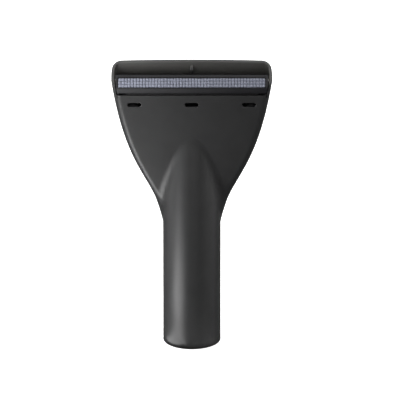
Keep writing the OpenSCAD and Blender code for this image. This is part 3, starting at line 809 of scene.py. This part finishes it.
def paint_hood_light(material, colour):
    """Mixes a paler colour into the base colour where the mesh's painted_hood_light attribute says so:
    painted light on the hood's inner face.
    """
    tree = material.node_tree
    shader = next(n for n in tree.nodes if n.type == "BSDF_PRINCIPLED")
    before = shader.inputs["Base Color"].links[0].from_socket
    inside = tree.nodes.new("ShaderNodeAttribute")
    inside.attribute_name = "painted_hood_light"
    share = spread(tree, inside.outputs["Fac"], 0.0, 1.0, 0.0, 1.0)
    tree.links.new(blend_colours(tree, share, before, colour), shader.inputs["Base Color"])
    return material


SHELL_LOOK = (0.020, 0.020, 0.0205), (0.024, 0.024, 0.0245), 0.42
# Painted light: a paler, slightly warm colour on the hood's inner face, fading in upward over these
# heights toward the lip.
HOOD_PAINTED_LIGHT, HOOD_LIGHT_LEVELS = (0.068, 0.067, 0.064), (192.0, 199.0)
shell_plastic = moulded_plastic("shell_plastic", *SHELL_LOOK)
rear_plastic = paint_hood_light(moulded_plastic("rear_plastic", *SHELL_LOOK), HOOD_PAINTED_LIGHT)
trim_plastic = moulded_plastic("trim_plastic", (0.0085, 0.0085, 0.0105), (0.0105, 0.0105, 0.0125), 0.5,
                               specular=0.28)
socket_plastic = moulded_plastic("socket_plastic", (0.028, 0.028, 0.029), (0.034, 0.034, 0.035), 0.4)
seal_rubber = soft_rubber("seal_rubber", (0.012, 0.012, 0.012))
screw_steel = turned_steel("screw_steel", (0.62, 0.62, 0.60), 0.32)
pin_steel = turned_steel("pin_steel", (0.40, 0.40, 0.39), 0.38)
spring_steel = turned_steel("spring_steel", (0.55, 0.56, 0.58), 0.3)
strip_pile = pile_fabric("strip_pile")


def finish_piece(piece, material, slot, *nodes):
    piece.data.materials.clear()
    piece.data.materials.append(material)
    if nodes:
        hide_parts(*nodes)
    return piece


finish_piece(mesh_piece("front_housing", front_solids), shell_plastic, "shell", "front_shell")
rear_piece = finish_piece(mesh_piece("rear_housing", rear_solids), rear_plastic, "shell", "rear_cover")
rear_points = np.array([v.co for v in rear_piece.data.vertices]) / MM
depth = -distance_out(rear_points)
# Mask of the painted light: the inner face of the wall, growing from none to full over the hood's
# heights.
painted_hood_light = (depth > 0.9) * (depth < WALL + 0.3) * ramp(*HOOD_LIGHT_LEVELS, rear_points[:, 2])
rear_piece.data.attributes.new("painted_hood_light", "FLOAT", "POINT").data.foreach_set("value", painted_hood_light)
finish_piece(mesh_piece("inner_rail", rail_solids), shell_plastic, "shell", "spring_rail")
for label, *spot in SCREW_SPOTS:
    finish_piece(mesh_piece(f"boss_{label}", [post(*spot)]), shell_plastic, "shell", f"post_{label}")

# ---------------------------------------------------------------------------
# Wand socket, seal, screws and pins
# ---------------------------------------------------------------------------
socket_profile = [(16.45, 0.0), (17.6, 0.0), (17.9, 0.3), (17.9, 44.8), (17.7, 45.0), (14.95, 45.0),
                  (14.65, 44.7), (14.65, 42.3), (14.95, 42.0), (16.05, 42.0), (16.05, 0.6),
                  (16.15, 0.25)]
collar = mesh_piece("wand_collar", [lathe(socket_profile, upright, 128, closed=True)])
finish_piece(collar, socket_plastic, "socket", "wand_socket")
seal_profile = [(14.75, 45.0), (17.7, 45.0), (17.8, 45.15), (17.8, 46.25), (17.7, 46.4), (14.75, 46.4),
                (14.65, 46.3), (14.65, 45.1)]
gasket = mesh_piece("collar_gasket", [lathe(seal_profile, upright, 128, closed=True)])
finish_piece(gasket, seal_rubber, "seal_rubber", "socket_seal")


BOX_FACES = [[3, 2, 1, 0], [4, 5, 6, 7], [0, 1, 5, 4], [1, 2, 6, 5], [2, 3, 7, 6], [3, 0, 4, 7]]


def solid_object(name, points, faces):
    form = bmesh.new()
    verts = [form.verts.new(p) for p in points]
    for f in faces:
        form.faces.new([verts[i] for i in f])
    mesh = bpy.data.meshes.new(name)
    form.to_mesh(mesh)
    form.free()
    return link_object(name, mesh)


def screw_solid(x, z):
    """Pan-head screw with a cross recess, standing on the floor of its seat."""
    head_r, head_h, shank_r, length = 2.8, 1.9, 1.45, 12.0
    core_r, pitch = shank_r - 0.35, 1.3
    profile = [(0.0, -length), (0.5, -length + 0.4), (core_r, -length + 2.2)]
    turn = -length + 2.4
    while turn < -1.2:
        profile += [(core_r, turn), (shank_r, turn + 0.35), (shank_r, turn + 0.5), (core_r, turn + 0.85)]
        turn += pitch
    profile += [(shank_r - 0.1, -0.4), (shank_r, 0.0), (head_r - 0.1, 0.0), (head_r, 0.15),
                (head_r, head_h * 0.5), (head_r - 0.25, head_h * 0.78), (head_r - 0.8, head_h * 0.95),
                (head_r - 1.5, head_h), (0.0, head_h)]
    blank = solid_object("blank", *lathe(profile, upright, 40))
    slot_l, slot_w = 3.2, 0.8
    layers = ((head_h - 1.1, 0.72), (head_h + 0.4, 1.06))
    cutters = []
    for across, along in ((slot_l, slot_w), (slot_w, slot_l)):
        corners = [(sx * across / 2 * share, sy * along / 2 * share, h) for h, share in layers
                   for sx, sy in ((-1, -1), (1, -1), (1, 1), (-1, 1))]
        cutter = solid_object("cutter", corners, BOX_FACES)
        cut = blank.modifiers.new("recess", "BOOLEAN")
        cut.operation, cut.solver, cut.object = "DIFFERENCE", "EXACT", cutter
        cutters.append(cutter)
    evaluated = blank.evaluated_get(bpy.context.evaluated_depsgraph_get()).to_mesh()
    points = np.array([tuple(v.co) for v in evaluated.vertices])
    faces = [list(f.vertices) for f in evaluated.polygons]
    for extra in [*cutters, blank]:
        bpy.data.objects.remove(extra)
    return on_back(x, z)(points - [0, 0, SEAT_DEPTH]), faces


for label, *spot in SCREW_SPOTS:
    screw = mesh_piece(f"fixing_{label}", [screw_solid(*spot)])
    finish_piece(screw, screw_steel, "screw_steel", f"screw_{label}")

pin_profile = [(0.0, -8.0), (0.95, -8.0), (1.25, -7.7), (1.25, -0.9), (2.1, -0.9), (2.2, -0.8),
               (2.2, -0.3), (2.05, -0.08), (1.7, 0.0), (0.0, 0.0)]
for side, label in SIDES:
    pin = mesh_piece(f"hinge_{label}", [lathe(pin_profile, turned_x(side, PIN_X, PIVOT_Y, PIVOT_Z), 48)])
    finish_piece(pin, pin_steel, "pin_steel", f"pin_{label}")


def coil_solid(x):
    """Spring wire wound between the shelf and the carrier, with a closed flat turn at each end."""
    turns, per_turn, sides, carrier_v = 4, 36, 12, -4.4
    wire_r = WIRE_D / 2
    low, high = SHELF_OUT + wire_r, carrier_v - wire_r
    rings = []
    for i in range(turns * per_turn + 1):
        share = i / (turns * per_turn)
        rise = min(max((share - 0.1) / 0.8, 0.0), 1.0)
        a = 2 * math.pi * i / per_turn
        ring = []
        for j in range(sides):
            b = 2 * math.pi * j / sides
            r = SPRING_R - wire_r + wire_r * math.cos(b)
            h = low + (high - low) * rise + wire_r * math.sin(b)
            ring.append((r * math.cos(a), r * math.sin(a), h))
        rings.append(ring)
    points = np.array([p for ring in rings for p in ring])
    last = len(points) - sides
    faces = [[k + (j + 1) % sides, k + sides + (j + 1) % sides, k + sides + j, k + j]
             for k in range(0, last, sides) for j in range(sides)]
    faces += [list(range(sides - 1, -1, -1)), list(range(last, len(points)))]
    return on_face(x, SPRING_U)(points), faces


for side, label in SIDES:
    coil = mesh_piece(f"coil_{label}", [coil_solid(side * SPRING_X)])
    finish_piece(coil, spring_steel, "spring_steel", f"spring_{label}")
    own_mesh(coil)

lip_profile = [(-2, SHELF_OUT), (1.2, SHELF_OUT), (1.2, SHELF_OUT + 0.6), (1.05, SHELF_OUT + 0.75),
               (0.35, SHELF_OUT + 0.95), (0.5, -6.3), (0.4, -6.2), (0.1, -6.2), (-0.05, -6.3),
               (-1.3, SHELF_OUT + 1.0), (-1.9, SHELF_OUT + 0.75)]
lip_points, lip_faces = prism(face_profile(lip_profile), 45.0, 0.1)
lip = mesh_piece("lip_seal", [(lip_points, lip_faces)])
finish_piece(lip, seal_rubber, "seal_rubber", "gap_seal")
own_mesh(lip)


# ---------------------------------------------------------------------------
# Tilting strip: carrier, bezel, backing and pile
# ---------------------------------------------------------------------------
def softened(node, name, width, material, slot):
    """A copy of a CAD node's shape with its edges rounded."""
    form = bmesh.new()
    form.from_mesh(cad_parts[node].data)
    bmesh.ops.remove_doubles(form, verts=form.verts, dist=1e-6)
    bmesh.ops.dissolve_limit(form, angle_limit=math.radians(2.0), verts=form.verts, edges=form.edges)
    mesh = bpy.data.meshes.new(name)
    form.to_mesh(mesh)
    form.free()
    piece = link_object(name, mesh)
    rounding = piece.modifiers.new("rounding", "BEVEL")
    rounding.width = width * MM
    rounding.segments = 3
    rounding.limit_method = "ANGLE"
    rounding.angle_limit = math.radians(25.0)
    rounding.harden_normals = True
    smooth_faces(mesh)
    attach(piece, TILTING)
    return finish_piece(piece, material, slot, node)


softened("strip_bezel", "bezel_frame", 0.22, trim_plastic, "trim")
softened("strip_carrier", "carrier_bar", 0.15, trim_plastic, "trim")
softened("strip_backing", "backing_pad", 0.08, seal_rubber, "seal_rubber")

STRIP_L, STRIP_W, STRIP_INSET, STRIP_FOOT = 100.4, 7.3, 0.5, -1.85
PILE_TOP, PILE_H = 0.15, 0.8
PILE_ROWS, PILE_COLUMNS = 3, 48


def pile_solid():
    """Rows of soft, rounded tufts as one closed, finely sampled solid."""
    rng = random.Random(11)
    per_tuft, per_row = 9, 11
    nx, nu = PILE_COLUMNS * per_tuft + 1, PILE_ROWS * per_row + 1
    lean = {(c, r): (rng.uniform(-0.05, 0.05), rng.uniform(-0.05, 0.05), rng.uniform(-0.06, 0.0))
            for c in range(PILE_COLUMNS) for r in range(PILE_ROWS)}
    points, heights = [], []
    for iu in range(nu):
        for ix in range(nx):
            column = min(ix // per_tuft, PILE_COLUMNS - 1)
            row = min(iu // per_row, PILE_ROWS - 1)
            sx = 2 * (ix / per_tuft - column) - 1
            su = 2 * (iu / per_row - row) - 1
            top = (1 - abs(sx) ** 3.5) * (1 - abs(su) ** 3.5)
            top = max(top, 0.0) ** 0.6
            dx, du, dv = lean[column, row]
            x = (ix / (nx - 1) - 0.5) * STRIP_L
            u = iu / (nu - 1) * STRIP_W
            inner = 0 < ix < nx - 1 and 0 < iu < nu - 1
            x += dx * top * inner
            u += du * top * inner
            v = PILE_TOP - PILE_H + PILE_H * top + dv * top
            y, z = face_point(u, v)
            points.append((x, y, z))
            heights.append(top)
    top_count = len(points)
    rim = [(ix, 0) for ix in range(nx)]
    rim += [(nx - 1, iu) for iu in range(1, nu)]
    rim += [(ix, nu - 1) for ix in range(nx - 2, -1, -1)]
    rim += [(0, iu) for iu in range(nu - 2, 0, -1)]
    for ix, iu in rim:
        x, u = (ix / (nx - 1) - 0.5) * STRIP_L, iu / (nu - 1) * STRIP_W
        y, z = face_point(max(u, STRIP_INSET), STRIP_FOOT)
        points.append((x, y, z))
        heights.append(0.0)
    faces = [[iu * nx + ix, iu * nx + ix + 1, (iu + 1) * nx + ix + 1, (iu + 1) * nx + ix]
             for iu in range(nu - 1) for ix in range(nx - 1)]
    count = len(rim)
    for i, (ix, iu) in enumerate(rim):
        jx, ju = rim[(i + 1) % count]
        faces.append([ju * nx + jx, iu * nx + ix, top_count + i, top_count + (i + 1) % count])
    faces.append([top_count + i for i in range(count - 1, -1, -1)])
    return points, faces, heights


pile_points, pile_faces, pile_heights = pile_solid()
pile = mesh_piece("pile_strip", [(pile_points, pile_faces)], TILTING, sharp=80.0)
# pile_height: 1 at the tufts' tops, 0 in the channels; it drives the painted shade there.
pile_attribute = pile.data.attributes.new("pile_height", "FLOAT", "POINT")
pile_attribute.data.foreach_set("value", pile_heights)
finish_piece(pile, strip_pile, "pile", "lint_strip")

# ---------------------------------------------------------------------------
# Stage and light
# ---------------------------------------------------------------------------
STAGE_R, STAGE_SIDES, DOME_LEVELS = 7.5, 96, 8
FLOOR_GREY = (0.8, 0.8, 0.8)
BACKDROP_LEVEL, WORLD_LEVEL = 1.05, 0.065


def stage_mesh(name, points, faces):
    mesh = bpy.data.meshes.new(name)
    mesh.from_pydata(points, [], faces)
    thing = link_object(name, mesh)
    return thing


def stage_ring(radius, height):
    turns = [2 * math.pi * i / STAGE_SIDES for i in range(STAGE_SIDES)]
    return [(radius * math.cos(a), radius * math.sin(a), height) for a in turns]


def stage_paint(name, colour):
    """Dull paint that gives off a white light of its own."""
    material, tree, shader = new_material(name)
    shader.inputs["Base Color"].default_value = (*colour, 1.0)
    shader.inputs["Specular IOR Level"].default_value = 0.0
    shader.inputs["Emission Color"].default_value = (1.0, 1.0, 1.0, 1.0)
    return material, tree, shader


floor = stage_mesh("floor", stage_ring(STAGE_R, 0.0), [list(range(STAGE_SIDES))])
floor_paint, tree, shader = stage_paint("floor_paint", FLOOR_GREY)
shader.inputs["Roughness"].default_value = 0.9
floor_place = tree.nodes.new("ShaderNodeTexCoord")
reach = tree.nodes.new("ShaderNodeVectorMath")
reach.operation = "LENGTH"
tree.links.new(floor_place.outputs["Object"], reach.inputs[0])
floor_level = spread(tree, reach.outputs["Value"], 0.8, 1.0, 0.1, 0.9)
tree.links.new(floor_level, shader.inputs["Emission Strength"])
floor.data.materials.append(floor_paint)
floor.visible_glossy = False
floor.visible_diffuse = False

dome_points = []
for a in np.linspace(0, math.pi / 2, DOME_LEVELS + 1)[:-1]:
    dome_points += stage_ring(STAGE_R * math.cos(a), STAGE_R * math.sin(a))
dome_points.append((0, 0, STAGE_R))
dome_faces = []
for start in range(0, DOME_LEVELS * STAGE_SIDES, STAGE_SIDES):
    above, top = start + STAGE_SIDES, start == (DOME_LEVELS - 1) * STAGE_SIDES
    for i in range(STAGE_SIDES):
        j = (i + 1) % STAGE_SIDES
        dome_faces.append([start + i, start + j] + ([above] if top else [above + j, above + i]))
dome = stage_mesh("backdrop", dome_points, dome_faces)
dome_paint, tree, shader = stage_paint("backdrop_paint", (0.0, 0.0, 0.0))
shader.inputs["Emission Strength"].default_value = BACKDROP_LEVEL
dome.data.materials.append(dome_paint)
for flag in ("visible_glossy", "visible_diffuse", "visible_shadow", "visible_transmission"):
    setattr(dome, flag, False)

world = bpy.data.worlds.new("world")
bpy.context.scene.world = world
world.use_nodes = True
world.node_tree.nodes["Background"].inputs["Color"].default_value = (1.0, 1.0, 1.0, 1.0)
world.node_tree.nodes["Background"].inputs["Strength"].default_value = WORLD_LEVEL


def area_light(name, width, height, power, location):
    data = bpy.data.lights.new(name, "AREA")
    data.shape = "RECTANGLE"
    data.size, data.size_y = width, height
    data.energy = power
    lamp = link_object(name, data)
    lamp.location = location
    lamp.visible_camera = False
    return lamp


def softbox(name, azimuth, elevation, distance, width, height, power, aim=(0.0, 0.0, 0.11)):
    """Area light seen from the object at an azimuth (0 toward the viewer, negative to the left)."""
    a, e = math.radians(azimuth), math.radians(elevation)
    toward = Vector((math.sin(a) * math.cos(e), -math.cos(a) * math.cos(e), math.sin(e)))
    lamp = area_light(name, width, height, power, Vector(aim) + toward * distance)
    lamp.rotation_mode = "QUATERNION"
    lamp.rotation_quaternion = (-toward).to_track_quat("-Z", "Y")


def floor_glow(name, azimuth, near, far, power):
    """Low panel lying on the floor and facing up, from near to far metres out at an azimuth."""
    a, middle = math.radians(azimuth), (near + far) / 2
    place = (math.sin(a) * middle, -math.cos(a) * middle, GLOW_HEIGHT)
    lamp = area_light(name, GLOW_WIDTH * middle, far - near, power, place)
    lamp.rotation_mode = "XYZ"
    lamp.rotation_euler = (math.pi, 0.0, a)


GLOW_WIDTH, GLOW_HEIGHT = 0.536, 0.002

# Name, azimuth, elevation, distance, width, height, power and, for one, the point aimed at
LIGHTS = [
    ("neck_gleam", -60, -15, 0.30, 0.12, 0.30, 0.06),
    ("plate_left", -45, 0, 0.15, 0.08, 0.08, 0.17, (0.0, 0.0, 0.19)),
    ("side_left", -90, 12, 1.0, 0.35, 0.9, 8.0),
    ("side_front", 10, 12, 1.0, 0.35, 0.9, 1.6),
    ("side_right", 60, 12, 1.0, 0.35, 0.9, 2.8),
    ("rim_right", 90, 12, 1.0, 0.35, 0.9, 4.5),
    ("top", 0, 78, 1.0, 0.6, 0.5, 3.0),
    ("back_left", -140, 20, 1.0, 0.4, 0.8, 6.0),
    ("back", 180, 42, 1.0, 0.8, 0.5, 7.0),
    ("back_right", 150, 10, 1.0, 0.3, 0.8, 3.0),
]
# Name, azimuth, near, far, power
FLOOR_GLOWS = [
    ("glow_left_near", -45, 0.021, 0.08, 0.018),
    ("glow_left", -53, 0.08, 0.20, 0.25),
    ("glow_front_near", 0, 0.021, 0.08, 0.002),
    ("glow_right_near", 35, 0.021, 0.08, 0.0015),
]
for light in LIGHTS:
    softbox(*light)
for glow in FLOOR_GLOWS:
    floor_glow(*glow)
